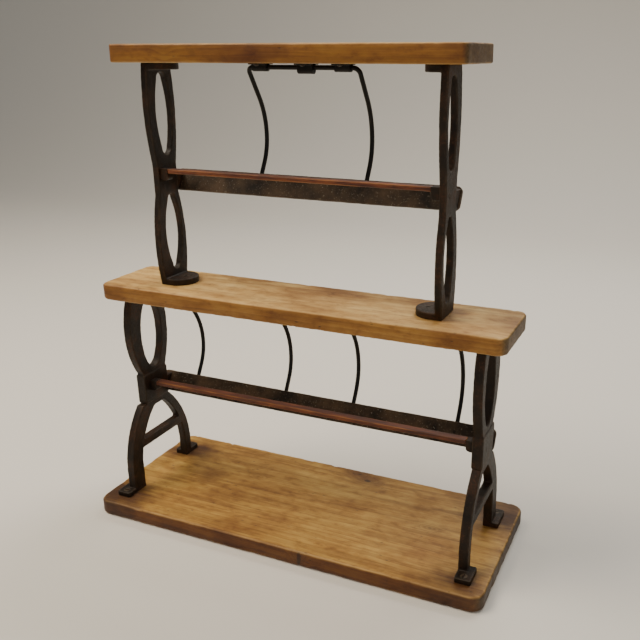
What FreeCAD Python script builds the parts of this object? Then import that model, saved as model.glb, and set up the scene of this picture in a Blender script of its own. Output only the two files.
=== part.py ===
import FreeCAD, Part
import math
import os

# Two-tier rack of waxed pine boards on cast-iron end brackets, with a tray and wire hoops on each tier.
# Frame: millimetres, +X to the right, +Y to the rear, +Z up, origin under the middle of the base board.
V = FreeCAD.Vector

# ---- boards ----
board_thick = 19.0
arris = 1.6
base_length, base_depth, base_corner = 500.0, 195.0, 15.0
middle_overhang, middle_depth, middle_corner = 23.0, 95.0, 11.0
top_length, top_depth, top_corner = 400.0, 94.0, 6.0

# The iron is drawn about its own middle. The boards sit a little off it, as they were screwed on.
iron_y = -5.6
middle_shift = (2.5, -1.1)
top_shift = (-2.6, 7.5)

# ---- lower brackets: heights marked "below" are measured down from the casting's top ----
lower_height = 253.0
lower_inset = 35.5
lower_thick = 10.0
wide_waist_half, narrow_waist_half = 22.8, 20.0
waist_top_below, waist_foot_below = 103.0, 145.0
wide_boss_half, narrow_boss_half = 24.0, 21.0
boss_top_below, boss_foot_below = 106.0, 143.0
boss_step = 1.0
wide_leg_half, wide_leg_radius, wide_leg_width, wide_knee_below = 60.5, 117.0, 19.0, 224.0
narrow_leg_half, narrow_leg_radius, narrow_leg_width, narrow_knee_below = 58.5, 120.0, 11.0, 232.0
crossbar_top_below, crossbar_height = 189.0, 10.0
arch_top_below = 151.0
arch_round = 8.0
lens_half, lens_below, lens_rise = 19.8, 54.0, 46.0
wide_bulge, narrow_bulge = 38.5, 31.0
bulge_below = 50.0
wide_top_half, narrow_top_half = 28.5, 22.5
pad_reach, pad_width, pad_thick = 74.0, 18.0, 6.0
pad_round = 2.0

# ---- upper brackets: heights marked "below" are measured down from the casting's top ----
upper_height = 249.0
upper_inset = 32.5
upper_thick = 7.2
upper_foot_half, upper_top_half = 19.8, 20.5
upper_waist_half = 17.0
upper_waist_top_below, upper_waist_foot_below = 110.0, 143.0
low_lobe_half, low_lobe_z = 25.0, 54.0
high_lobe_half, high_lobe_below = 23.6, 59.0
slot_shift = 3.0
low_slot_half, low_slot_end, low_slot_foot_z, low_slot_top_below = 15.0, 7.0, 15.0, 144.0
high_slot_half, high_slot_end, high_slot_top_below, high_slot_foot_below = 14.0, 8.5, 9.5, 99.5

# ---- flanges that carry and hold the boards ----
flange_half = 20.5
flange_thick = 7.0
foot_flange_reach = 27.0
top_flange_reach = 22.0

# ---- trays ----
plate_width = 26.5
plate_thick = 4.0
plate_lean = math.radians(30.0)
plate_overhang = 2.0
plate_corner = 6.0
plate_drop = 119.0
upper_seat_y = 20.0
rail_depth, rail_height = 11.0, 5.0
rail_front_y = -14.0
rail_above_plate = {"lower": 4.0, "upper": 5.2}
tenon_length, tenon_wall = 6.0, 1.2
socket_length, socket_drop, socket_round = 10.0, 8.0, 4.0

# ---- wire hoops ----
wire_dia = 5.0
hoop_width = 131.5
hoop_corner = 7.0
foot_run = 4.0
foot_straight = 19.7
low_bow_radius, high_bow_radius = 60.0, 76.0
top_turn = math.radians(33.5)
tab_length, tab_width, tab_thick = 15.0, 8.5, 2.6
bar_gap = 2.0
upper_hoop_x = -0.1
lower_hoop_x = (-111.8, 112.8)

# ---- clips that hold a hoop's top bar under its board ----
clip_width = 18.0
clip_ear = 9.0
clip_thick = 1.7
centre_clip_drop = 3.8
left_clip_x, centre_clip_x, right_clip_x = -49.5, 5.5, 48.3

# ---- screws, rivets and bolts ----
wood_screw_dia, wood_screw_head, wood_screw_length = 4.0, 8.0, 20.0
screw_cone = 2.2
slot_width, slot_depth = 1.1, 0.9
clip_screw_dia, clip_screw_head, clip_screw_length, clip_screw_rise = 2.8, 5.6, 12.0, 1.8
bolt_dia, bolt_head, bolt_rise, bolt_length = 4.0, 8.5, 3.0, 16.0
rivet_dia, rivet_head, rivet_rise = 3.6, 6.4, 1.6
socket_rivet_dia, socket_rivet_depth = 4.0, 6.0

lower_inner_x = base_length / 2 - lower_inset
upper_inner_x = top_length / 2 - upper_inset
middle_length = 2 * (lower_inner_x + lower_thick + middle_overhang)
waist_top_z, waist_foot_z = lower_height - waist_top_below, lower_height - waist_foot_below
wide_knee_z, narrow_knee_z = lower_height - wide_knee_below, lower_height - narrow_knee_below
crossbar_top_z = lower_height - crossbar_top_below
crossbar_foot_z = crossbar_top_z - crossbar_height
middle_z = board_thick + lower_height
top_z = middle_z + board_thick + upper_height
bar_drop = bar_gap + wire_dia / 2


def segment(p, q):
    return Part.LineSegment(p, q).toShape()


def arc(p, q, r):
    return Part.Arc(p, q, r).toShape()


def yz(y, z):
    return V(0, y, z)


def slab(edges, x_low, thick):
    """A flat casting: its outline in the YZ plane, thickened along X."""
    face = Part.Face(Part.Wire(Part.__sortEdges__(edges)))
    solid = face.extrude(V(thick, 0, 0))
    solid.translate(V(x_low, 0, 0))
    return solid


def box(x0, x1, y0, y1, z0, z1):
    return Part.makeBox(x1 - x0, y1 - y0, z1 - z0, V(x0, y0, z0))


def one_solid(shape):
    shape = shape.removeSplitter()
    return shape.Solids[0] if len(shape.Solids) == 1 else shape


def round_along_x(solid, radius, keep):
    edges = [e for e in solid.Edges if keep(e) and e.BoundBox.YLength < 1e-6 and e.BoundBox.ZLength < 1e-6]
    return solid.makeFillet(radius, edges) if edges else solid


def mirrored_x(shape):
    return shape.mirror(V(0, 0, 0), V(1, 0, 0))


def turned(shape):
    """The same casting on the other end: half a turn about the Z axis."""
    copy = shape.copy()
    copy.rotate(V(0, 0, 0), V(0, 0, 1), 180)
    return copy


def board(length, depth, corner, z_low, shift):
    solid = box(-length / 2, length / 2, -depth / 2, depth / 2, z_low, z_low + board_thick)
    solid.translate(V(shift[0], shift[1], 0))
    uprights = [e for e in solid.Edges if e.BoundBox.ZLength > board_thick / 2]
    solid = solid.makeFillet(corner, uprights)
    rims = [e for e in solid.Edges if e.BoundBox.ZLength < 1e-6]
    return solid.makeFillet(arris, rims)


# ---- brackets, drawn for the left end with their foot at z = 0 ----

def lens_side(side, waist, bulge, top):
    return arc(yz(side * waist, waist_top_z), yz(side * bulge, lower_height - bulge_below), yz(side * top, lower_height))


def leg_centre(side, half, radius, z):
    """Centre of the circles that the two edges of one bowed leg follow."""
    return yz(side * (half - radius), z)


def leg_point(side, half, radius, z, at_z):
    reach = math.sqrt(radius ** 2 - (at_z - z) ** 2)
    return yz(side * (half - radius + reach), at_z)


def leg_disc(side, half, radius, width, z):
    centre = leg_centre(side, half, radius, z)
    return Part.makeCylinder(radius - width, lower_thick, centre, V(1, 0, 0))


def lower_bracket():
    wide = (wide_leg_half, wide_leg_radius, wide_knee_z)
    narrow = (narrow_leg_half, narrow_leg_radius, narrow_knee_z)
    shoulder = waist_foot_z
    arch_top_z = lower_height - arch_top_below
    frame_edges = []
    for side, leg in ((-1, wide), (1, narrow)):
        half, radius, z = leg
        foot = yz(side * half, 0)
        knee = yz(side * half, z)
        half_way = leg_point(side, half, radius, z, (z + shoulder) / 2)
        neck = leg_point(side, half, radius, z, shoulder)
        frame_edges += [segment(foot, knee), arc(knee, half_way, neck)]
    frame_edges.append(segment(yz(-wide_leg_half, 0), yz(narrow_leg_half, 0)))
    frame_edges.append(segment(leg_point(-1, *wide, shoulder), leg_point(1, *narrow, shoulder)))
    legs = slab(frame_edges, 0, lower_thick)

    inside = leg_disc(-1, wide_leg_half, wide_leg_radius, wide_leg_width, wide_knee_z)
    inside = inside.common(leg_disc(1, narrow_leg_half, narrow_leg_radius, narrow_leg_width, narrow_knee_z))
    reach = max(wide_leg_half, narrow_leg_half)
    window = inside.common(box(0, lower_thick, -reach, reach, crossbar_top_z, arch_top_z))
    window = round_along_x(window, arch_round, lambda e: e.BoundBox.ZMin > arch_top_z - 1)
    window = round_along_x(window, pad_round, lambda e: e.BoundBox.ZMin < crossbar_top_z + 1)
    arch = inside.common(box(0, lower_thick, -reach, reach, wide_knee_z, crossbar_foot_z))
    below = box(0, lower_thick, wide_leg_width - wide_leg_half, narrow_leg_half - narrow_leg_width, 0, wide_knee_z)
    legs = legs.cut([window, arch, below])

    head_edges = [
        lens_side(-1, wide_waist_half, wide_bulge, wide_top_half),
        lens_side(1, narrow_waist_half, narrow_bulge, narrow_top_half),
        segment(yz(-wide_waist_half, waist_top_z), yz(narrow_waist_half, waist_top_z)),
        segment(yz(-wide_top_half, lower_height), yz(narrow_top_half, lower_height)),
    ]
    head = slab(head_edges, 0, lower_thick)
    lens_z = lower_height - lens_below
    ellipse = Part.Ellipse(yz(0, lens_z + lens_rise), yz(lens_half, lens_z), yz(0, lens_z))
    head = head.cut(slab([ellipse.toShape()], 0, lower_thick))

    waist = box(0, lower_thick, -wide_waist_half, narrow_waist_half, waist_foot_z, waist_top_z)
    boss = box(-boss_step, lower_thick + boss_step, -wide_boss_half, narrow_boss_half,
               lower_height - boss_foot_below, lower_height - boss_top_below)
    pads = []
    for side, half, width in ((-1, wide_leg_half, wide_leg_width), (1, narrow_leg_half, narrow_leg_width)):
        y = sorted((side * (half - width), side * pad_reach))
        pad = box(lower_thick - pad_width, lower_thick, *y, 0, pad_thick)
        corners = [e for e in pad.Edges if e.BoundBox.ZLength > pad_thick / 2]
        pads.append(pad.makeFillet(pad_round, corners))
    flange = board_flange(lower_thick, top_flange_reach, lower_height - flange_thick)
    body = legs.fuse([head, waist, boss, flange] + pads)
    body.translate(V(-lower_inner_x - lower_thick, 0, board_thick))
    return one_solid(body)


def board_flange(thick, reach, z_low):
    """A D-shaped flange that lies against a board, pointing inwards from the casting."""
    straight = thick + reach - flange_half
    block = box(0, max(straight, thick), -flange_half, flange_half, z_low, z_low + flange_thick)
    nose = Part.makeCylinder(flange_half, flange_thick, V(straight, 0, z_low))
    return block.fuse(nose.common(box(0, straight + flange_half, -flange_half, flange_half, z_low, z_low + flange_thick)))


def slot_opening(half, z0, z1, end, thick):
    """A long rounded window with bowed sides, moved towards the narrow strut."""
    zm = (z0 + z1) / 2
    y = slot_shift
    edges = [
        arc(yz(y - end, z0 + end), yz(y - half, zm), yz(y - end, z1 - end)),
        arc(yz(y + end, z0 + end), yz(y + half, zm), yz(y + end, z1 - end)),
        arc(yz(y - end, z0 + end), yz(y, z0), yz(y + end, z0 + end)),
        arc(yz(y - end, z1 - end), yz(y, z1), yz(y + end, z1 - end)),
    ]
    return slab(edges, 0, thick)


def upper_bracket():
    edges = []
    low, high = upper_height - upper_waist_foot_below, upper_height - upper_waist_top_below
    high_lobe_z = upper_height - high_lobe_below
    for side in (-1, 1):
        waist_low = yz(side * upper_waist_half, low)
        waist_high = yz(side * upper_waist_half, high)
        edges.append(arc(yz(side * upper_foot_half, 0), yz(side * low_lobe_half, low_lobe_z), waist_low))
        edges.append(segment(waist_low, waist_high))
        edges.append(arc(waist_high, yz(side * high_lobe_half, high_lobe_z), yz(side * upper_top_half, upper_height)))
    edges.append(segment(yz(-upper_foot_half, 0), yz(upper_foot_half, 0)))
    edges.append(segment(yz(-upper_top_half, upper_height), yz(upper_top_half, upper_height)))
    body = slab(edges, 0, upper_thick)
    body = body.cut(slot_opening(low_slot_half, low_slot_foot_z, upper_height - low_slot_top_below,
                                 low_slot_end, upper_thick))
    body = body.cut(slot_opening(high_slot_half, upper_height - high_slot_foot_below,
                                 upper_height - high_slot_top_below, high_slot_end, upper_thick))
    body = body.fuse(board_flange(upper_thick, foot_flange_reach, 0))
    body = body.fuse(board_flange(upper_thick, top_flange_reach, upper_height - flange_thick))
    body.translate(V(-upper_inner_x - upper_thick, 0, middle_z + board_thick))
    return one_solid(body)


# ---- trays: one leaning plate behind, one wooden rail in front ----

class Tray:
    """Where one tier's tray lies: along X between its brackets, below its board."""

    def __init__(self, name, board_under_z, inner_x, thick, seat_y, rear_y):
        self.name = name
        self.under = board_under_z
        self.inner_x = inner_x
        self.outer_x = inner_x + thick
        self.seat_y = seat_y
        self.rear_y = rear_y
        self.top_z = board_under_z - plate_drop
        self.up = V(0, math.sin(plate_lean), math.cos(plate_lean))
        self.front = V(0, -math.cos(plate_lean), math.sin(plate_lean))
        foot_z = self.top_z - plate_width * math.cos(plate_lean)
        self.foot = V(0, seat_y, foot_z) - self.front * plate_thick

    def on_plate(self, x, up, out):
        """A point given by its height up the plate and its distance in front of the plate's rear face."""
        return V(x, 0, 0) + self.foot + self.up * up + self.front * out

    def plate(self):
        half = self.outer_x + plate_overhang
        corners = [self.on_plate(x, up, 0) for x, up in
                   ((-half, 0), (half, 0), (half, plate_width), (-half, plate_width), (-half, 0))]
        solid = Part.Face(Part.makePolygon(corners)).extrude(self.front * plate_thick)
        ends = [e for e in solid.Edges if abs(e.Length - plate_thick) < 1e-6]
        return solid.makeFillet(plate_corner, ends)

    def wedge(self, side):
        """Fills the angle between the bracket's upright rear and the leaning plate."""
        low = self.on_plate(0, 0, plate_thick)
        high = self.on_plate(0, plate_width - plate_corner / 2, plate_thick)
        corners = [low, high, V(0, self.rear_y, high.z), V(0, self.rear_y, low.z), low]
        if low.y - self.rear_y < 1e-6:
            corners.pop(3)
        thick = self.outer_x - self.inner_x
        solid = Part.Face(Part.makePolygon(corners)).extrude(V(thick, 0, 0))
        solid.translate(V(self.inner_x if side > 0 else -self.outer_x, 0, 0))
        return solid

    def clearance(self):
        """The room the plate and its wedges need behind a bracket, right along the tray."""
        z0, z1 = self.foot.z - 1, self.top_z + 2
        return box(-self.outer_x - boss_step - 1, self.outer_x + boss_step + 1,
                   self.rear_y, self.rear_y + plate_width, z0, z1)

    def bolt_at(self, side):
        x = side * (self.inner_x + self.outer_x) / 2
        return self.on_plate(x, plate_width / 2, 0)

    def bolt(self, side):
        start = self.bolt_at(side)
        shank = Part.makeCylinder(bolt_dia / 2, bolt_length, start, self.front)
        return shank.fuse(dome(start, self.front * -1, bolt_head, bolt_rise))

    def rail_z(self):
        return self.top_z + rail_above_plate[self.name] - rail_height

    def rail(self):
        z0 = self.rail_z()
        shoulder = self.inner_x - socket_length
        y0, y1 = rail_front_y, rail_front_y + rail_depth
        body = box(-shoulder, shoulder, y0, y1, z0, z0 + rail_height)
        long_edges = [e for e in body.Edges if e.BoundBox.XLength > shoulder]
        body = body.makeFillet(rail_height / 4, long_edges)
        return body.fuse(self.tenons())

    def tenons(self):
        z0 = self.rail_z()
        tip = self.inner_x - socket_length + tenon_length
        y0, y1 = rail_front_y + tenon_wall, rail_front_y + rail_depth - tenon_wall
        return box(-tip, tip, y0, y1, z0 + tenon_wall, z0 + rail_height - tenon_wall)

    def socket(self, side):
        z0 = self.rail_z()
        x0, x1 = sorted((side * (self.inner_x - socket_length), side * (self.inner_x - self.boss_step())))
        block = box(x0, x1, rail_front_y, rail_front_y + rail_depth, z0 - socket_drop, z0 + rail_height)
        tip = side * (self.inner_x - socket_length)
        lower = [e for e in block.Edges if e.BoundBox.YLength > rail_depth / 2
                 and abs(e.BoundBox.XMin - tip) < 1e-3 and e.BoundBox.ZMax < z0]
        block = block.makeFillet(socket_round, lower)
        return block.cut([self.tenons(), self.socket_rivet(side)])

    def socket_rivet(self, side):
        outer = self.outer_x + self.boss_step()
        start = V(side * outer, rail_front_y + rail_depth / 2, self.rail_z() - socket_drop / 2)
        length = outer - self.inner_x + socket_rivet_depth
        return Part.makeCylinder(socket_rivet_dia / 2, length, start, V(-side, 0, 0))

    def boss_step(self):
        return boss_step if self.name == "lower" else 0.0


def dome(at, direction, diameter, rise):
    """A round head: a cap of a sphere standing on the plane through a point."""
    radius = (diameter ** 2 / 4 + rise ** 2) / (2 * rise)
    direction = V(direction).normalize()
    ball = Part.makeSphere(radius, at + direction * (rise - radius))
    collar = Part.makeCylinder(diameter / 2 + 1, rise + 1, at, direction)
    return ball.common(collar)


# ---- wire hoops ----

def walk(start, heading, moves):
    """Edges of a bent wire in the YZ plane. Heading is the angle from +Z towards +Y, and
    each move is a straight run (0, length) or a bend (radius, turn) towards +Y when positive."""
    edges, point = [], start
    for radius, amount in moves:
        if radius == 0:
            end = point + yz(math.sin(heading), math.cos(heading)) * amount
            edges.append(segment(point, end))
        else:
            way = 1 if amount > 0 else -1
            centre = point + yz(math.cos(heading), -math.sin(heading)) * (radius * way)
            mid_heading, end_heading = heading + amount / 2, heading + amount
            middle = centre - yz(math.cos(mid_heading), -math.sin(mid_heading)) * (radius * way)
            end = centre - yz(math.cos(end_heading), -math.sin(end_heading)) * (radius * way)
            edges.append(arc(point, middle, end))
            heading = end_heading
        point = end
    return edges, point, heading


class Hoop:
    def __init__(self, tray, centre_x):
        self.tray = tray
        self.x = centre_x
        self.bar_z = tray.under - bar_drop
        self.start = tray.on_plate(0, plate_width - foot_run, -wire_dia / 2)
        self.leg_moves = self.moves()
        _, self.leg_end, self.leg_heading = walk(self.start, plate_lean, self.leg_moves)
        self.bar_y = (self.leg_end + self.ahead() * hoop_corner).y

    def ahead(self):
        return yz(math.sin(self.leg_heading), math.cos(self.leg_heading))

    def moves(self):
        """The last straight run brings the top bar to its height under the board."""
        first = [(0, foot_straight), (low_bow_radius, -plate_lean), (high_bow_radius, -top_turn)]
        _, bowed, _ = walk(self.start, plate_lean, first)
        rest = (self.bar_z - bowed.z) / math.cos(top_turn) - hoop_corner
        return first + [(0, rest)]

    def leg_edges(self, side):
        edges, _, _ = walk(self.start + V(self.x + side * hoop_width / 2, 0, 0), plate_lean, self.leg_moves)
        return edges

    def corner(self, side):
        leg = self.leg_end + V(self.x + side * hoop_width / 2, 0, 0)
        ahead, inward = self.ahead(), V(-side, 0, 0)
        centre = leg + inward * hoop_corner
        middle = centre + (ahead - inward) * (hoop_corner * math.sqrt(0.5))
        return arc(leg, middle, centre + ahead * hoop_corner)

    def solid(self):
        half_bar = hoop_width / 2 - hoop_corner
        bar = segment(V(self.x - half_bar, self.bar_y, self.bar_z), V(self.x + half_bar, self.bar_y, self.bar_z))
        path = self.leg_edges(-1) + [self.corner(-1), bar, self.corner(1)] + self.leg_edges(1)
        path = Part.Wire(Part.__sortEdges__(path))
        first = self.start + V(self.x - hoop_width / 2, 0, 0)
        ring = Part.Wire(Part.makeCircle(wire_dia / 2, first, self.tray.up))
        wire = path.makePipeShell([ring], True, True)
        tabs = [self.tab(side) for side in (-1, 1)]
        return one_solid(wire.fuse(tabs).cut([self.rivet(side) for side in (-1, 1)]))

    def foot_x(self, side):
        return self.x + side * hoop_width / 2

    def tab(self, side):
        x, top = self.foot_x(side), plate_width - foot_run / 2
        corners = [self.tray.on_plate(x + dx, up, 0) for dx, up in
                   ((-tab_width / 2, top - tab_length), (tab_width / 2, top - tab_length),
                    (tab_width / 2, top), (-tab_width / 2, top), (-tab_width / 2, top - tab_length))]
        solid = Part.Face(Part.makePolygon(corners)).extrude(self.tray.front * -tab_thick)
        ends = [e for e in solid.Edges if abs(e.Length - tab_thick) < 1e-6]
        return solid.makeFillet(tab_width / 4, ends)

    def rivet(self, side):
        """Domed over the foot behind the plate and filed flush with the plate's front."""
        up = plate_width - foot_run - tab_length / 2
        front = self.tray.on_plate(self.foot_x(side), up, plate_thick)
        rear = self.tray.on_plate(self.foot_x(side), up, -tab_thick)
        shank = Part.makeCylinder(rivet_dia / 2, plate_thick + tab_thick, front, self.tray.front * -1)
        return shank.fuse(dome(rear, self.tray.front * -1, rivet_head, rivet_rise))

    def clip_x(self, place):
        return self.x + {"left": left_clip_x, "centre": centre_clip_x, "right": right_clip_x}[place]

    def clip(self, place):
        """A saddle under the bar with an ear on each side, screwed up into the board."""
        wall = centre_clip_drop if place == "centre" else clip_thick
        half = clip_width / 2
        x0, x1 = self.clip_x(place) - half, self.clip_x(place) + half
        hump = wire_dia / 2 + clip_thick
        under = self.tray.under
        bottom = self.bar_z - wire_dia / 2 - wall
        saddle = box(x0, x1, self.bar_y - hump, self.bar_y + hump, bottom, under)
        rounded = [e for e in saddle.Edges if e.BoundBox.XLength > half and e.BoundBox.ZMax < bottom + 1e-3]
        saddle = saddle.makeFillet(hump * 0.8, rounded)
        ears = box(x0, x1, self.bar_y - hump - clip_ear, self.bar_y + hump + clip_ear, under - clip_thick, under)
        corners = [e for e in ears.Edges if e.BoundBox.ZLength > clip_thick / 2]
        ears = ears.makeFillet(clip_width / 5, corners)
        channel = Part.makeCylinder(wire_dia / 2, clip_width, V(x0, self.bar_y, self.bar_z), V(1, 0, 0))
        throat = box(x0, x1, self.bar_y - wire_dia / 2, self.bar_y + wire_dia / 2, self.bar_z, under)
        return saddle.fuse(ears).cut([channel, throat] + self.clip_screws(place))

    def clip_screws(self, place):
        reach = wire_dia / 2 + clip_thick + clip_ear / 2
        z = self.tray.under - clip_thick
        screws = []
        for side in (-1, 1):
            at = V(self.clip_x(place), self.bar_y + side * reach, z)
            shank = Part.makeCylinder(clip_screw_dia / 2, clip_screw_length, at, V(0, 0, 1))
            screws.append(shank.fuse(dome(at, V(0, 0, -1), clip_screw_head, clip_screw_rise)))
        return screws


# ---- wood screws through the pads and flanges ----

def wood_screw(x, y, z, up):
    """A slotted screw whose flat head is flush at z and whose shank points up or down."""
    axis = V(0, 0, up)
    at = V(x, y, z)
    head = Part.makeCone(wood_screw_head / 2, wood_screw_dia / 2, screw_cone, at, axis)
    shank = Part.makeCylinder(wood_screw_dia / 2, wood_screw_length - screw_cone, at + axis * screw_cone, axis)
    return head.fuse(shank)


def slotted(screw, x, y, z, up):
    half = wood_screw_head
    z0, z1 = sorted((z, z + up * slot_depth))
    return screw.cut(box(x - half, x + half, y - slot_width / 2, y + slot_width / 2, z0, z1))


def screw_row(places):
    return [(wood_screw(*p), slotted(wood_screw(*p), *p)) for p in places]


def pieces_cut(shape, tools):
    return one_solid(shape.cut(tools)) if tools else shape


def save(name, shape):
    solids = shape if isinstance(shape, list) else shape.Solids
    for solid in solids:
        if not solid.isValid():
            raise ValueError(name + " is not valid")
    result = solids[0] if len(solids) == 1 else Part.makeCompound(solids)
    result.translate(V(0, iron_y, 0))
    result.exportStep("parts/" + name + ".step")


def main():
    os.makedirs("parts", exist_ok=True)
    trays = [Tray("lower", middle_z, lower_inner_x, lower_thick, narrow_boss_half, narrow_boss_half),
             Tray("upper", top_z, upper_inner_x, upper_thick, upper_seat_y, upper_waist_half)]
    lower_tray, upper_tray = trays
    hoops = {"upper_hoop": Hoop(upper_tray, upper_hoop_x),
             "lower_left_hoop": Hoop(lower_tray, lower_hoop_x[0]),
             "lower_right_hoop": Hoop(lower_tray, lower_hoop_x[1])}

    pad_x = lower_inner_x + pad_width / 2
    pad_y = (pad_reach + wide_leg_half) / 2
    flange_x = {"foot": upper_inner_x - foot_flange_reach / 2, "top": upper_inner_x - top_flange_reach / 2,
                "low": lower_inner_x - top_flange_reach / 2}
    rows = {
        "lower_foot_screws": screw_row([(sx * pad_x, sy * pad_y, board_thick + pad_thick, -1)
                                        for sx in (-1, 1) for sy in (-1, 1)]),
        "lower_bracket_top_screws": screw_row([(s * flange_x["low"], 0, middle_z - flange_thick, 1) for s in (-1, 1)]),
        "upper_foot_screws": screw_row([(s * flange_x["foot"], 0, middle_z + board_thick + flange_thick, -1)
                                        for s in (-1, 1)]),
        "upper_bracket_top_screws": screw_row([(s * flange_x["top"], 0, top_z - flange_thick, 1) for s in (-1, 1)]),
    }
    holes = {name: [plain for plain, _ in row] for name, row in rows.items()}
    clip_holes = {name: [screw for place in ("left", "centre", "right") for screw in hoop.clip_screws(place)]
                  for name, hoop in hoops.items()}

    save("base_board", pieces_cut(board(base_length, base_depth, base_corner, 0, (0, -iron_y)),
                                  holes["lower_foot_screws"]))
    save("middle_board", pieces_cut(board(middle_length, middle_depth, middle_corner, middle_z, middle_shift),
                                    holes["lower_bracket_top_screws"] + holes["upper_foot_screws"]
                                    + clip_holes["lower_left_hoop"] + clip_holes["lower_right_hoop"]))
    save("top_board", pieces_cut(board(top_length, top_depth, top_corner, top_z, top_shift),
                                 holes["upper_bracket_top_screws"] + clip_holes["upper_hoop"]))

    castings = {"lower": lower_bracket(), "upper": upper_bracket()}
    bracket_holes = {"lower": holes["lower_foot_screws"] + holes["lower_bracket_top_screws"],
                     "upper": holes["upper_foot_screws"] + holes["upper_bracket_top_screws"]}
    for tray in trays:
        left = castings[tray.name]
        for side, word, casting in ((-1, "left", left), (1, "right", turned(left))):
            tools = bracket_holes[tray.name] + [tray.bolt(side), tray.socket_rivet(side), tray.clearance()]
            save(tray.name + "_bracket_" + word, pieces_cut(casting, tools))
            save(tray.name + "_plate_wedge_" + word, pieces_cut(tray.wedge(side), [tray.bolt(side)]))
            save(tray.name + "_rail_socket_" + word, tray.socket(side))
        save(tray.name + "_tray_rail", tray.rail())
        save(tray.name + "_plate_bolts", [tray.bolt(side) for side in (-1, 1)])
        save(tray.name + "_socket_rivets", [tray.socket_rivet(side) for side in (-1, 1)])
        own = [hoop for hoop in hoops.values() if hoop.tray is tray]
        rivets = [hoop.rivet(side) for hoop in own for side in (-1, 1)]
        bolts = [tray.bolt(side) for side in (-1, 1)]
        save(tray.name + "_tray_plate", pieces_cut(tray.plate(), rivets + bolts))
        save(tray.name + "_hoop_rivets", rivets)
        save(tray.name + "_clip_screws", [s for hoop in own for place in ("left", "centre", "right")
                                          for s in hoop.clip_screws(place)])

    for name, hoop in hoops.items():
        save(name, hoop.solid())
        for place in ("left", "centre", "right"):
            save(name + "_clip_" + place, hoop.clip(place))
    for name, row in rows.items():
        save(name, [screw for _, screw in row])


main()
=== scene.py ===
# Two-tier bench rack: waxed pine boards on black cast-iron ends, iron tray plates,
# mahogany tray rails and black wire hoops.
import math
import bmesh
import bpy
from functools import partial
from mathutils import Matrix, Vector, noise


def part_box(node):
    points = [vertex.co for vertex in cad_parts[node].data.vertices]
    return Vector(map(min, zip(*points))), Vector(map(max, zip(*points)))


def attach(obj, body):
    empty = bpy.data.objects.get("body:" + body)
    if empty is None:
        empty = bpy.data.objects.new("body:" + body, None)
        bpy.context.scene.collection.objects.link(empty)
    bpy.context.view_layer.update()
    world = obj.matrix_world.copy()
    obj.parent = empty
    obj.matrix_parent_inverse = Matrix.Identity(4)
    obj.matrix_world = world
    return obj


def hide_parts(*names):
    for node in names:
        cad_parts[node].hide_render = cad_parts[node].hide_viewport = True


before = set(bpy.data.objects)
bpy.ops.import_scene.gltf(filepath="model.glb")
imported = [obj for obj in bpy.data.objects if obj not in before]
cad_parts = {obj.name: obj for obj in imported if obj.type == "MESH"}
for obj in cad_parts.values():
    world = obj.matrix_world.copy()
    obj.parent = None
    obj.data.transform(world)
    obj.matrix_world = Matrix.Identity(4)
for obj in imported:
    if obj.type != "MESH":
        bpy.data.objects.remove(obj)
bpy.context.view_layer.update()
mm = 0.001


def linearColour(hexValue):
    parts = [int(hexValue[i:i + 2], 16) / 255 for i in (1, 3, 5)]
    return [c / 12.92 if c <= 0.04045 else ((c + 0.055) / 1.055) ** 2.4 for c in parts] + [1.0]


def addNode(tree, kind, inputs=None, give=0, stops=None, **settings):
    # one node with its settings and links; give says which output comes back
    made = tree.nodes.new(kind)
    for key, value in settings.items():
        setattr(made, key, value)
    for key, value in (inputs or {}).items():
        if isinstance(value, bpy.types.NodeSocket):
            tree.links.new(value, made.inputs[key])
        else:
            made.inputs[key].default_value = value
    if stops:
        elements = made.color_ramp.elements
        while len(elements) < len(stops):
            elements.new(0.5)
        for element, (where, colour) in zip(elements, stops):
            element.position = where
            element.color = linearColour(colour) if isinstance(colour, str) else [colour] * 3 + [1.0]
    return made if give is None else made.outputs[give]


def newMaterial(name):
    material = bpy.data.materials.new(name)
    material.use_nodes = True
    material.node_tree.nodes.clear()
    return material, partial(addNode, material.node_tree)


def finishMaterial(add, colour, rough, height, bumpMm, fixed):
    bump = add("ShaderNodeBump", {"Height": height, "Distance": bumpMm * mm, "Strength": 1.0}, "Normal")
    surface = add("ShaderNodeBsdfPrincipled",
                  {"Base Color": colour, "Roughness": rough, "Normal": bump, **fixed}, "BSDF")
    add("ShaderNodeOutputMaterial", {"Surface": surface}, None)


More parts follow.
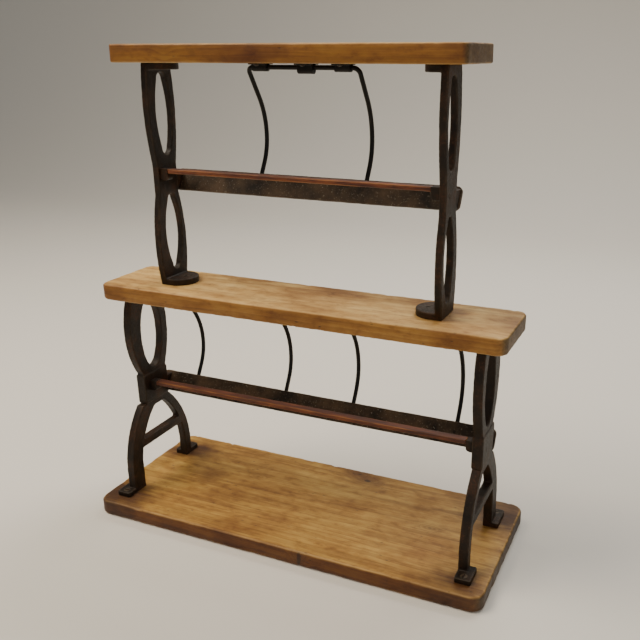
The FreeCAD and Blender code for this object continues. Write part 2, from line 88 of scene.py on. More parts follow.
# Waxed old pine, hand planed: honey brown, darker late wood along the board, dull brown end
# grain (darkened further on the base as painted shade), knots, dark pits, painted shade with some
# grime by the iron feet and at the right ends, front and back faces darkened as painted shade,
# and paler arrises that are partly rubbed wear and partly painted highlight.
def waxedPine(name, look):
    material, add = newMaterial(name)
    metres = add("ShaderNodeTexCoord", give="Object")
    inMm = add("ShaderNodeVectorMath", {0: metres, 3: 1000.0}, operation="SCALE")
    at = add("ShaderNodeVectorMath", {0: inMm, 1: look["shift"]}, operation="ADD")
    drawn = add("ShaderNodeVectorMath", {0: at, 1: (0.14, 1.0, 1.0)}, operation="MULTIPLY")
    wander = add("ShaderNodeTexNoise", {"Vector": drawn, "Scale": 1 / look["wanderMm"], "Detail": 2.5},
                 "Color")
    wander = add("ShaderNodeVectorMath", {0: wander, 1: (0.5, 0.5, 0.5)}, operation="SUBTRACT")
    wander = add("ShaderNodeVectorMath", {0: wander, 1: (0.0, look["wander"], look["wander"])},
                 operation="MULTIPLY")
    moved = add("ShaderNodeVectorMath", {0: at, 1: wander}, operation="ADD")
    fromPith = add("ShaderNodeVectorMath", {0: moved, 1: look["pith"]}, operation="SUBTRACT")
    fromPith = add("ShaderNodeVectorMath", {0: fromPith, 1: (0.035, 1.0, 1.0)}, operation="MULTIPLY")
    radius = add("ShaderNodeVectorMath", {0: fromPith}, "Value", operation="LENGTH")
    ragged = add("ShaderNodeTexNoise", {"Vector": at, "Scale": 1 / look["raggedMm"], "Detail": 4.0,
                                        "Roughness": 0.7}, "Fac")
    knots = 0.0
    for x, y, wide, deep in look["knots"]:
        apart = add("ShaderNodeVectorMath", {0: at, 1: (x, y, look["knotZ"])}, operation="SUBTRACT")
        core = add("ShaderNodeVectorMath", {0: apart, 1: (0.6 / wide, 1 / wide, 1 / look["knotMm"])},
                   operation="MULTIPLY")
        core = add("ShaderNodeVectorMath", {0: core}, "Value", operation="LENGTH")
        core = add("ShaderNodeMath", {0: core, 1: ragged}, operation="ADD")
        core = add("ShaderNodeValToRGB", {"Fac": core}, stops=[(0.45, 1.0), (0.62, 0.6), (0.85, 0.75),
                                                               (1.0, 0.0)])
        around = add("ShaderNodeVectorMath", {0: apart, 1: (0.3 / wide, 0.7 / wide, 1 / look["knotMm"])},
                     operation="MULTIPLY")
        around = add("ShaderNodeVectorMath", {0: around, 1: around}, "Value", operation="DOT_PRODUCT")
        swell = add("ShaderNodeMath", {0: math.exp(-1.0), 1: around}, operation="POWER")
        radius = add("ShaderNodeMath", {0: swell, 1: look["knotPush"], 2: radius}, operation="MULTIPLY_ADD")
        mark = add("ShaderNodeMath", {0: swell, 1: 0.35, 2: core}, operation="MULTIPLY_ADD")
        mark = add("ShaderNodeMath", {0: mark, 1: deep}, operation="MULTIPLY")
        knots = add("ShaderNodeMath", {0: knots, 1: mark}, operation="MAXIMUM")
    ring = add("ShaderNodeMath", {0: radius, 1: look["ringWidth"]}, operation="DIVIDE")
    ring = add("ShaderNodeMath", {0: ring}, operation="FRACT")
    colour = add("ShaderNodeValToRGB", {"Fac": ring}, stops=[(0.0, look["early"]), (0.45, look["middle"]),
                                                             (0.86, look["late"]), (1.0, look["early"])])
    along = add("ShaderNodeVectorMath", {0: at, 1: (0.03, 1.0, 1.0)}, operation="MULTIPLY")
    fibre = add("ShaderNodeTexNoise", {"Vector": along, "Scale": 1 / look["fibreMm"], "Detail": 5.0,
                                       "Roughness": 0.65}, "Fac")
    along = add("ShaderNodeVectorMath", {0: at, 1: (0.07, 1.0, 1.0)}, operation="MULTIPLY")
    streak = add("ShaderNodeTexNoise", {"Vector": along, "Scale": 1 / look["streakMm"], "Detail": 4.0}, "Fac")
    along = add("ShaderNodeVectorMath", {0: at, 1: (0.5, 1.0, 1.0)}, operation="MULTIPLY")
    cloud = add("ShaderNodeTexNoise", {"Vector": along, "Scale": 1 / look["cloudMm"], "Detail": 4.0,
                                       "Roughness": 0.6}, "Fac")
    mottle = add("ShaderNodeTexNoise", {"Vector": along, "Scale": 1 / look["mottleMm"], "Detail": 5.0,
                                        "Roughness": 0.65}, "Fac")
    fine = add("ShaderNodeValToRGB", {"Fac": fibre}, stops=[(0.32, look["late"]), (0.48, look["middle"]),
                                                            (0.64, look["pale"])])
    colour = add("ShaderNodeMix", {0: look["fibre"], 6: colour, 7: fine}, 2, data_type="RGBA")
    broad = add("ShaderNodeValToRGB", {"Fac": streak}, stops=[(0.32, look["late"]), (0.5, look["middle"]),
                                                              (0.7, look["pale"])])
    colour = add("ShaderNodeMix", {0: 0.38, 6: colour, 7: broad}, 2, data_type="RGBA")
    tone = add("ShaderNodeValToRGB", {"Fac": cloud}, stops=[(0.32, look["dull"]), (0.50, "#e9dccb"),
                                                            (0.68, "#ffffff")])
    colour = add("ShaderNodeMix", {0: 0.85, 6: colour, 7: tone}, 2, data_type="RGBA", blend_type="MULTIPLY")
    tone = add("ShaderNodeValToRGB", {"Fac": mottle}, stops=[(0.32, "#c2ab8e"), (0.48, "#f4ecdf"),
                                                             (0.62, "#ffffff")])
    colour = add("ShaderNodeMix", {0: 0.75, 6: colour, 7: tone}, 2, data_type="RGBA", blend_type="MULTIPLY")
    # pits and short flecks of dirt, drawn 1 to 4 mm long so that they show
    short = add("ShaderNodeVectorMath", {0: at, 1: (0.3, 1.0, 1.0)}, operation="MULTIPLY")
    cells = add("ShaderNodeTexVoronoi", {"Vector": short, "Scale": 1 / look["fleckMm"], "Randomness": 1.0},
                "Distance")
    fleck = add("ShaderNodeValToRGB", {"Fac": cells}, stops=[(0.07, 1.0), (0.17, 0.0)])
    chance = add("ShaderNodeTexNoise", {"Vector": at, "Scale": 1 / look["chanceMm"], "Detail": 2.0}, "Fac")
    chance = add("ShaderNodeValToRGB", {"Fac": chance}, stops=[(0.50, 0.0), (0.60, 1.0)])
    fleck = add("ShaderNodeMath", {0: fleck, 1: chance}, operation="MULTIPLY")
    amount = add("ShaderNodeMath", {0: fleck, 1: 0.75}, operation="MULTIPLY")
    colour = add("ShaderNodeMix", {0: amount, 6: colour, 7: linearColour(look["dirt"])}, 2, data_type="RGBA")
    colour = add("ShaderNodeMix", {0: knots, 6: colour, 7: linearColour(look["knotHeart"])}, 2,
                 data_type="RGBA", clamp_factor=True)
    # painted shade with some grime: darker patches by the iron feet and at the boards' right ends
    for x, y, reach, tint, deep in look["shadeAndGrimeSpots"]:
        apart = add("ShaderNodeVectorMath", {0: at, 1: (x, y, 0)}, operation="SUBTRACT")
        apart = add("ShaderNodeVectorMath", {0: apart, 1: (0.8, 1.0, 0.0)}, operation="MULTIPLY")
        apart = add("ShaderNodeVectorMath", {0: apart}, "Value", operation="LENGTH")
        apart = add("ShaderNodeMath", {0: cloud, 1: reach * 1.4, 2: apart}, operation="MULTIPLY_ADD")
        spot = add("ShaderNodeMapRange", {"Value": apart, "From Min": reach * 0.8, "From Max": reach * 1.7,
                                          "To Min": deep, "To Max": 0.0}, interpolation_type="SMOOTHSTEP")
        colour = add("ShaderNodeMix", {0: spot, 6: colour, 7: linearColour(tint)}, 2, data_type="RGBA",
                     blend_type="MULTIPLY")
    facing = add("ShaderNodeNewGeometry", give="Normal")
    facing = add("ShaderNodeSeparateXYZ", {"Vector": facing}, None)
    # end grain tone on the board ends; on the base these tones are set darker as painted shade
    endways = add("ShaderNodeMath", {0: facing.outputs["X"]}, operation="ABSOLUTE")
    endways = add("ShaderNodeMapRange", {"Value": endways, "From Min": 0.45, "From Max": 0.85,
                                         "To Max": 0.88})
    endTone = add("ShaderNodeValToRGB", {"Fac": ragged}, stops=[(0.36, look["endDark"]),
                                                                (0.66, look["endPale"])])
    colour = add("ShaderNodeMix", {0: endways, 6: colour, 7: endTone}, 2, data_type="RGBA")
    # painted shade: the front and back faces are multiplied darker by the side tint
    sideShadeMask = add("ShaderNodeMath", {0: facing.outputs["Y"]}, operation="ABSOLUTE")
    sideShadeMask = add("ShaderNodeMapRange", {"Value": sideShadeMask, "From Min": 0.55, "From Max": 0.9,
                                          "To Max": look["sideShadeAmount"]})
    colour = add("ShaderNodeMix", {0: sideShadeMask, 6: colour, 7: linearColour(look["sideShadeTint"])}, 2,
                 data_type="RGBA", blend_type="MULTIPLY")
    # arrises paler where the noise lets them be, partly rubbed wear and partly painted highlight; dark in the
    # odd nick
    wear = add("ShaderNodeAttribute", give="Fac", attribute_name="wear")
    scuffAndHighlight = add("ShaderNodeValToRGB", {"Fac": streak}, stops=[(0.40, 0.1), (0.62, 1.0)])
    scuffAndHighlight = add("ShaderNodeMath", {0: scuffAndHighlight, 1: wear}, operation="MULTIPLY")
    scuffAndHighlight = add("ShaderNodeMath", {0: scuffAndHighlight, 1: look["rub"]}, operation="MULTIPLY")
    colour = add("ShaderNodeMix", {0: scuffAndHighlight, 6: colour, 7: linearColour(look["rubbed"])}, 2, data_type="RGBA")
    nick = add("ShaderNodeValToRGB", {"Fac": ragged}, stops=[(0.62, 0.0), (0.68, 0.8)])
    nick = add("ShaderNodeMath", {0: nick, 1: wear}, operation="MULTIPLY")
    colour = add("ShaderNodeMix", {0: nick, 6: colour, 7: linearColour(look["nickDark"])}, 2,
                 data_type="RGBA")
    rough = add("ShaderNodeMapRange", {"Value": cloud, "From Min": 0.35, "From Max": 0.65, "To Min": 0.62,
                                       "To Max": 0.46})
    height = add("ShaderNodeMath", {0: streak, 1: 0.5, 2: fibre}, operation="MULTIPLY_ADD")
    height = add("ShaderNodeMath", {0: height, 1: fleck}, operation="SUBTRACT")
    finishMaterial(add, colour, rough, height, 0.30, {"IOR": 1.45})
    return material


# Mahogany strip, oiled and handled: red-brown, fine dark pores, lighter worn arrises.
def oiledMahogany(name, look):
    material, add = newMaterial(name)
    metres = add("ShaderNodeTexCoord", give="Object")
    at = add("ShaderNodeVectorMath", {0: metres, 3: 1000.0}, operation="SCALE")
    along = add("ShaderNodeVectorMath", {0: at, 1: (0.06, 1.0, 1.0)}, operation="MULTIPLY")
    pores = add("ShaderNodeTexNoise", {"Vector": along, "Scale": 1 / look["poreMm"], "Detail": 4.0,
                                       "Roughness": 0.6}, "Fac")
    along = add("ShaderNodeVectorMath", {0: at, 1: (0.16, 1.0, 1.0)}, operation="MULTIPLY")
    figure = add("ShaderNodeTexNoise", {"Vector": along, "Scale": 1 / look["figureMm"], "Detail": 4.0}, "Fac")
    colour = add("ShaderNodeValToRGB", {"Fac": figure}, stops=[(0.34, look["dark"]), (0.52, look["middle"]),
                                                               (0.68, look["light"])])
    pore = add("ShaderNodeValToRGB", {"Fac": pores}, stops=[(0.36, 0.7), (0.50, 0.0)])
    colour = add("ShaderNodeMix", {0: pore, 6: colour, 7: linearColour(look["pore"])}, 2, data_type="RGBA")
    wear = add("ShaderNodeAttribute", give="Fac", attribute_name="wear")
    rub = add("ShaderNodeValToRGB", {"Fac": figure}, stops=[(0.40, 0.1), (0.6, 0.75)])
    rub = add("ShaderNodeMath", {0: rub, 1: wear}, operation="MULTIPLY")
    colour = add("ShaderNodeMix", {0: rub, 6: colour, 7: linearColour(look["rubbed"])}, 2, data_type="RGBA")
    rough = add("ShaderNodeMapRange", {"Value": figure, "From Min": 0.3, "From Max": 0.7, "To Min": 0.45,
                                       "To Max": 0.58})
    finishMaterial(add, colour, rough, pores, 0.12, {"IOR": 1.47})
    return material


# Old iron, blackened and oiled: brown-black with faint rust in patches, greyer along the arrises
# (partly rubbed wear, partly painted sheen), and a fine pebbled skin from the sand or the brush.
def oldIron(name, look):
    material, add = newMaterial(name)
    metres = add("ShaderNodeTexCoord", give="Object")
    at = add("ShaderNodeVectorMath", {0: metres, 3: 1000.0}, operation="SCALE")
    patches = add("ShaderNodeTexNoise", {"Vector": at, "Scale": 1 / look["patch"], "Detail": 4.0,
                                         "Roughness": 0.6}, "Fac")
    speck = add("ShaderNodeTexNoise", {"Vector": at, "Scale": 1 / look["speck"], "Detail": 3.0,
                                       "Roughness": 0.7}, "Fac")
    grit = add("ShaderNodeTexNoise", {"Vector": at, "Scale": 1 / look["grit"], "Detail": 4.0,
                                      "Roughness": 0.7}, "Fac")
    colour = add("ShaderNodeValToRGB", {"Fac": patches}, stops=[(0.34, look["dark"]), (0.50, look["middle"]),
                                                                (0.68, look["brown"])])
    rusty = add("ShaderNodeValToRGB", {"Fac": patches}, stops=[(0.48, 0.0), (0.62, 1.0)])
    spots = add("ShaderNodeValToRGB", {"Fac": speck}, stops=[(0.46, 0.0), (0.64, look["rustAmount"])])
    rusty = add("ShaderNodeMath", {0: rusty, 1: spots}, operation="MULTIPLY")
    colour = add("ShaderNodeMix", {0: rusty, 6: colour, 7: linearColour(look["rust"])}, 2, data_type="RGBA")
    dust = add("ShaderNodeValToRGB", {"Fac": speck}, stops=[(0.60, 0.0), (0.72, look["dustAmount"])])
    colour = add("ShaderNodeMix", {0: dust, 6: colour, 7: linearColour(look["dust"])}, 2, data_type="RGBA")
    # greyer arrises: partly rubbed wear, partly painted sheen
    wear = add("ShaderNodeAttribute", give="Fac", attribute_name="wear")
    rub = add("ShaderNodeTexNoise", {"Vector": at, "Scale": 1 / look["rubMm"], "Detail": 4.0,
                                     "Roughness": 0.65}, "Fac")
    rub = add("ShaderNodeValToRGB", {"Fac": rub}, stops=[(0.38, 0.1 * look["rub"]), (0.62, look["rub"])])
    rub = add("ShaderNodeMath", {0: rub, 1: wear}, operation="MULTIPLY")
    colour = add("ShaderNodeMix", {0: rub, 6: colour, 7: linearColour(look["rubbed"])}, 2, data_type="RGBA")
    low, high = look["rough"]
    rough = add("ShaderNodeMapRange", {"Value": speck, "From Min": 0.3, "From Max": 0.7, "To Min": low,
                                       "To Max": high})
    height = add("ShaderNodeMath", {0: speck, 1: 0.8, 2: grit}, operation="MULTIPLY_ADD")
    finishMaterial(add, colour, rough, height, look["bumpMm"], {"Metallic": look["metallic"],
                                                                "Specular IOR Level": look["specular"]})
    return material


pineLooks = {
    "common": {"ringWidth": 6.2, "wander": 16.0, "knotPush": 14.0, "fibre": 0.5, "pale": "#cdaa5c",
               "early": "#c09d52", "middle": "#b08b43", "late": "#886028", "dull": "#b3935f",
               # side tint and its amount: painted shade on the front and back faces
               "endDark": "#33230f", "endPale": "#6a5130", "sideShadeTint": "#cfb070", "sideShadeAmount": 0.9,
               # the rubbed colour on the arrises is partly wear, partly painted highlight
               "rubbed": "#cfa55e", "rub": 0.45, "dirt": "#2e1908", "knotHeart": "#3a200c",
               "nickDark": "#2c1606", "wanderMm": 34.0, "raggedMm": 4.0, "fibreMm": 1.6, "streakMm": 8.0,
               "cloudMm": 46.0, "knotMm": 60.0, "mottleMm": 9.0, "fleckMm": 5.0, "chanceMm": 15.0},
    "base": {"shift": (0, 0, 0), "pith": (40, 30, -70), "knotZ": 19, "late": "#7d5720", "middle": "#ab863f",
             "knots": [(47.0, 76.0, 6.0, 0.8), (31.0, 88.0, 4.0, 0.6), (-92.0, 30.0, 3.0, 0.3),
                       (158.0, 6.0, 3.5, 0.55), (37.0, -97.0, 3.0, 0.8)],
             # the patches by the iron feet: painted shade with some grime
             "shadeAndGrimeSpots": [(-224, -76, 46, "#6e5232", 0.9), (-215, 60, 52, "#7a5f3c", 0.9),
                        (224, -76, 52, "#77593a", 0.9), (220, 66, 56, "#6e5232", 0.9),
                        (-165, 16, 40, "#a58a62", 0.6), (45, 80, 46, "#a08358", 0.7),
                        (150, -30, 70, "#c4a87c", 0.6)],
             # the base's side tint and its darker end grain tones: painted shade
             "sideShadeTint": "#94682c", "endDark": "#1d1108", "endPale": "#3b2612"},
    "middle": {"shift": (37, 0, 0), "pith": (0, -20, 180), "knotZ": 291, "pale": "#e0c68a",
               "early": "#d4b677", "middle": "#c4a363", "late": "#9a7642",
               "knots": [(-60, 20, 3.5, 0.3), (205, -12, 3.0, 0.3)],
               # the patches by the upper feet and at the right end: painted shade with some grime
               "shadeAndGrimeSpots": [(-130, -5, 36, "#8c6a42", 0.8), (204, -5, 36, "#8c6a42", 0.8),
                          (290, 0, 40, "#9c7a50", 0.7), (60, 20, 60, "#c2a276", 0.5)]},
    "top": {"shift": (-21, 0, 0), "pith": (0, 25, 470), "knotZ": 559,
            "knots": [(-150, -40, 3.5, 0.7), (70, 12, 5.0, 0.35)],
            # the darker patch at the right end is painted shade
            "shadeAndGrimeSpots": [(175, 0, 60, "#9c7545", 0.8), (-60, -30, 60, "#c2a276", 0.5)]},
}
mahoganyLook = {"dark": "#431c0a", "middle": "#693216", "light": "#874a22", "rubbed": "#b07438",
                "pore": "#1c0b04", "poreMm": 1.1, "figureMm": 7.0}
ironLooks = {
    # in every iron look the rubbed colour on the arrises is partly wear, partly painted sheen
    "common": {"rubMm": 11.0, "specular": 0.3},
    "casting": {"patch": 26.0, "speck": 2.6, "grit": 0.9, "dark": "#120a04", "middle": "#1f1307",
                "brown": "#2f1e0d", "rust": "#4d2914", "rustAmount": 0.6, "dust": "#574a38",
                "dustAmount": 0.3, "rubbed": "#5c4f3d", "rub": 0.4, "rough": (0.42, 0.62), "bumpMm": 0.30,
                "metallic": 0.15},
    "plate": {"patch": 30.0, "speck": 2.0, "grit": 0.8, "dark": "#1e160e", "middle": "#423323",
              "brown": "#5b4834", "rust": "#4a2e1b", "rustAmount": 0.5, "dust": "#a39783",
              "dustAmount": 0.75, "rubbed": "#6a5f4e", "rub": 0.4, "rough": (0.45, 0.65), "bumpMm": 0.25,
              "metallic": 0.1},
    "wire": {"patch": 20.0, "speck": 1.8, "grit": 0.6, "dark": "#030201", "middle": "#060402",
             "brown": "#0d0804", "rust": "#2c190d", "rustAmount": 0.3, "dust": "#39312a",
             "dustAmount": 0.12, "rubbed": "#3a322a", "rub": 0.25, "rough": (0.42, 0.58), "bumpMm": 0.10,
             "metallic": 0.1},
    "fastener": {"patch": 5.0, "speck": 1.2, "grit": 0.5, "dark": "#140d07", "middle": "#22180f",
                 "brown": "#33251a", "rust": "#4d2c18", "rustAmount": 0.5, "dust": "#5c5040",
                 "dustAmount": 0.2, "rubbed": "#6d6251", "rub": 0.5, "rough": (0.40, 0.58), "bumpMm": 0.08,
                 "metallic": 0.4},
}
materials = {name + "Pine": waxedPine("waxedPine_" + name, {**pineLooks["common"], **pineLooks[name]})
             for name in ("base", "middle", "top")}
materials["mahogany"] = oiledMahogany("oiledMahogany", mahoganyLook)
for key, name in (("casting", "blackenedCastIron"), ("plate", "blackenedPlateIron"),
                  ("wire", "blackenedWire"), ("fastener", "darkenedScrewSteel")):
    materials[key] = oldIron(name, {**ironLooks["common"], **ironLooks[key]})
print("materials:", len(materials))


def newObject(name, mesh, material=None):
    made = bpy.data.objects.new(name, mesh)
    bpy.context.collection.objects.link(made)
    if material:
        mesh.materials.clear()
        mesh.materials.append(material)
    return made


def place(piece, slotName, *nodes):
    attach(piece, "root")
    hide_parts(*nodes)


def smoothShade(mesh, angle=math.radians(40)):
    mesh.shade_smooth()
    mesh.set_sharp_from_angle(angle=angle)


def bakeModifiers(piece, name, material):
    view = bpy.context.evaluated_depsgraph_get()
    mesh = bpy.data.meshes.new_from_object(piece.evaluated_get(view))
    mesh.name = name
    oldMesh = piece.data
    bpy.data.objects.remove(piece)
    if oldMesh.users == 0:
        bpy.data.meshes.remove(oldMesh)
    return newObject(name, mesh, material)


def ringOf(halfX, halfY, corner, inset, steps, spacing):
    # one loop of a rounded rectangle, the same count of points whatever the inset
    corner = max(corner - inset, 0.05)
    innerX, innerY = halfX - inset - corner, halfY - inset - corner
    points = []
    signs = ((1, 1), (-1, 1), (-1, -1), (1, -1))
    for turn, (sx, sy) in enumerate(signs):
        for i in range(steps + 1):
            angle = math.pi / 2 * (turn + i / steps)
            points.append((sx * innerX + corner * math.cos(angle), sy * innerY + corner * math.sin(angle)))
        start, (nextX, nextY) = points[-1], signs[(turn + 1) % 4]
        angle = math.pi / 2 * (turn + 1)
        end = (nextX * innerX + corner * math.cos(angle), nextY * innerY + corner * math.sin(angle))
        count = spacing[turn % 2]
        points += [(start[0] + (end[0] - start[0]) * i / count, start[1] + (end[1] - start[1]) * i / count)
                   for i in range(1, count)]
    return points


# how finely a slab is cut and how its wear is spread: noise scales per mm, nick threshold
# and the share of the arris that wear may take
slabWear = {"cornerSteps": 8, "easeSteps": 4, "broad": 0.045, "fine": 0.25, "nickSpread": 0.11,
            "nickStart": 0.42, "seedStep": 7.3, "share": 0.7, "faceShare": 0.35, "rise": 0.6}


def easedSlab(name, size, material, matrix):
    # a slab with rounded corners and eased arrises, worn unevenly, with nicks along its rim
    length, depth, thick = size["length"], size["depth"], size["thick"]
    halfX, halfY, ease = length / 2, depth / 2, size["ease"]
    spacing = (max(2, int(length / size["step"])), max(2, int(depth / size["step"])))
    levels = [(inset, 0.0, 0.0) for inset in size["inner"]]
    quarter = [math.pi / 2 * i / slabWear["easeSteps"] for i in range(slabWear["easeSteps"] + 1)]
    levels += [(ease * (1 - math.sin(a)), ease * (1 - math.cos(a)), 1.0) for a in quarter]
    levels += [(ease * (1 - math.cos(a)), thick - ease * (1 - math.sin(a)), 1.0) for a in quarter]
    levels += [(inset, thick, 0.0) for inset in reversed(size["inner"])]
    mesh = bpy.data.meshes.new(name)
    work = bmesh.new()
    worn = work.verts.layers.float.new("wear")
    seed = Vector((size["seed"] * slabWear["seedStep"], 0, 0))
    rings = []
    for inset, z, wear in levels:
        ring = []
        for x, y in ringOf(halfX, halfY, size["corner"], inset, slabWear["cornerSteps"], spacing):
            at = Vector((x, y, z))
            rub = noise.noise(at * slabWear["broad"] + seed) * size["rub"]
            rub += noise.noise(at * slabWear["fine"] + seed) * size["rub"] * 0.5
            nick = noise.noise(at * slabWear["nickSpread"] + seed * 2) - slabWear["nickStart"]
            nick = max(0.0, nick) * size["nick"]
            out = Vector((math.copysign(1, x) if halfX - abs(x) < size["corner"] else 0,
                          math.copysign(1, y) if halfY - abs(y) < size["corner"] else 0, 0))
            out *= 1.0 if inset < ease * 1.01 else 0.0
            inward = min(abs(rub) * (1.0 if wear else slabWear["faceShare"]) + nick, ease * slabWear["share"])
            at -= out * inward
            if wear:
                at.z += (thick / 2 - z) / (thick / 2) * inward * slabWear["rise"]
            vertex = work.verts.new(at)
            vertex[worn] = math.sin(math.pi * min(1.0, max(0.0, inset / ease))) if wear else 0.0
            ring.append(vertex)
        rings.append(ring)
    for low, high in zip(rings, rings[1:]):
        for i in range(len(low)):
            j = (i + 1) % len(low)
            work.faces.new((low[i], low[j], high[j], high[i]))
    work.faces.new(list(reversed(rings[0])))
    work.faces.new(rings[-1])
    bmesh.ops.recalc_face_normals(work, faces=work.faces)
    bmesh.ops.scale(work, vec=(mm, mm, mm), verts=work.verts)
    work.transform(matrix)
    work.to_mesh(mesh)
    work.free()
    smoothShade(mesh)
    return newObject(name, mesh, material)


def boxMiddle(node):
    low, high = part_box(node)
    return (low + high) / 2, (high - low) / mm


# boards, each set where its CAD board is
boards = {
    "base_board": {"corner": 15.0, "ease": 3.0, "seed": 3, "rub": 0.9, "nick": 4.0, "material": "basePine"},
    "middle_board": {"corner": 11.0, "ease": 2.6, "seed": 5, "rub": 0.7, "nick": 2.5,
                     "material": "middlePine"},
    "top_board": {"corner": 6.0, "ease": 2.2, "seed": 8, "rub": 0.6, "nick": 2.0, "material": "topPine"},
}
for node, look in boards.items():
    middle, size = boxMiddle(node)
    slab = {**look, "length": size.x, "depth": size.y, "thick": size.z, "step": 4.0, "inner": [26.0, 9.0]}
    piece = easedSlab("visual_" + node, slab, materials[look["material"]],
                      Matrix.Translation(middle - Vector((0, 0, size.z * mm / 2))))
    place(piece, "board_wood", node)
print("boards:", len(boards))


# the two tray rails, between the sockets, with their tenons
rails = {"tenon": 6.0, "tenonWall": 1.2, "ease": 1.3, "corner": 1.5}
for node in ("lower_tray_rail", "upper_tray_rail"):
    middle, size = boxMiddle(node)
    slab = {"length": size.x - 2 * rails["tenon"], "depth": size.y, "thick": size.z, "step": 3.0,
            "inner": [2.2], "corner": rails["corner"], "ease": rails["ease"], "seed": len(node),
            "rub": 0.35, "nick": 0.8}
    piece = easedSlab("visual_" + node, slab, materials["mahogany"],
                      Matrix.Translation(middle - Vector((0, 0, size.z * mm / 2))))
    tenon = {**slab, "length": size.x, "depth": size.y - 2 * rails["tenonWall"], "step": 30.0, "rub": 0.0,
             "nick": 0.0, "thick": size.z - 2 * rails["tenonWall"], "ease": 0.3, "corner": 0.5,
             "inner": [1.0]}
    inner = easedSlab("tenon", tenon, materials["mahogany"],
                      Matrix.Translation(middle - Vector((0, 0, tenon["thick"] * mm / 2))))
    joined = bmesh.new()
    joined.from_mesh(piece.data)
    joined.from_mesh(inner.data)
    joined.to_mesh(piece.data)
    joined.free()
    bpy.data.objects.remove(inner)
    place(piece, "rail_wood", node)
print("rails: 2")


# the leaning tray plates
plates = {"lean": math.radians(30), "width": 26.5, "thick": 4.0, "corner": 6.0, "ease": 0.9}
plateFrames = {}
for node in ("lower_tray_plate", "upper_tray_plate"):
    middle, size = boxMiddle(node)
    turn = Matrix((Vector((1, 0, 0)), Vector((0, math.sin(plates["lean"]), math.cos(plates["lean"]))),
                   Vector((0, -math.cos(plates["lean"]), math.sin(plates["lean"]))))).transposed().to_4x4()
    at = Matrix.Translation(middle) @ turn
    plateFrames[node] = at
    slab = {"length": size.x, "depth": plates["width"], "thick": plates["thick"], "step": 3.0, "inner": [4.0],
            "corner": plates["corner"], "ease": plates["ease"], "seed": len(node), "rub": 0.3, "nick": 0.5}
    piece = easedSlab("visual_" + node, slab, materials["plate"],
                      at @ Matrix.Translation((0, 0, -plates["thick"] * mm / 2)))
    place(piece, "plate_iron", node)
print("plates: 2")


# castings: the CAD shape with its arrises and inner corners melted, as sand casting leaves them
def meltedCasting(node, size, material):
    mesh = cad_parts[node].data.copy()
    work = bmesh.new()
    work.from_mesh(mesh)
    bmesh.ops.remove_doubles(work, verts=work.verts, dist=0.01 * mm)
    work.to_mesh(mesh)
    work.free()
    piece = newObject("work_" + node, mesh)
    remesh = piece.modifiers.new("skin", "REMESH")
    remesh.mode = "VOXEL"
    remesh.voxel_size = size["voxel"] * mm
    soften = piece.modifiers.new("soften", "SMOOTH")
    soften.factor = 0.5
    soften.iterations = size["soften"]
    piece = bakeModifiers(piece, "visual_" + node, material)
    shape = piece.data
    count = len(shape.vertices)
    around, total = [0] * count, [Vector() for _ in range(count)]
    points = [v.co.copy() for v in shape.vertices]
    for edge in shape.edges:
        a, b = edge.vertices
        total[a] += points[b]
        total[b] += points[a]
        around[a] += 1
        around[b] += 1
    normals = [v.normal.copy() for v in shape.vertices]
    bend = [(points[i] - total[i] / max(1, around[i])).dot(normals[i]) / (size["voxel"] * mm)
            for i in range(count)]
    worn = shape.attributes.new("wear", "FLOAT", "POINT")
    for i in range(count):
        worn.data[i].value = min(1.0, max(0.0, bend[i] * size["wearGain"]))
        lump = noise.noise(points[i] * (1000 / size["lump"]))
        lump += 0.5 * noise.noise(points[i] * (2200 / size["lump"]))
        shape.vertices[i].co = points[i] + normals[i] * ((lump * size["lumpMm"] + size["regain"]) * mm)
    shape.shade_smooth()
    return piece


castingSizes = {
    "bracket": {"voxel": 0.75, "soften": 2, "wearGain": 6.0, "lump": 9.0, "lumpMm": 0.16, "regain": 0.3},
    "small": {"voxel": 0.45, "soften": 2, "wearGain": 6.0, "lump": 5.0, "lumpMm": 0.10, "regain": 0.1},
    "clip": {"voxel": 0.4, "soften": 2, "wearGain": 6.0, "lump": 4.0, "lumpMm": 0.06, "regain": 0.1},
}
made = 0
for tier in ("lower", "upper"):
    for side in ("left", "right"):
        for part, kind in (("_bracket_", "bracket"), ("_plate_wedge_", "small"), ("_rail_socket_", "small")):
            node = tier + part + side
            place(meltedCasting(node, castingSizes[kind], materials["casting"]), "cast_iron", node)
            made += 1
for hoop in ("upper_hoop", "lower_left_hoop", "lower_right_hoop"):
    for where in ("left", "centre", "right"):
        node = hoop + "_clip_" + where
        place(meltedCasting(node, castingSizes["clip"], materials["wire"]), "black_wire", node)
        made += 1
print("castings and clips:", made)


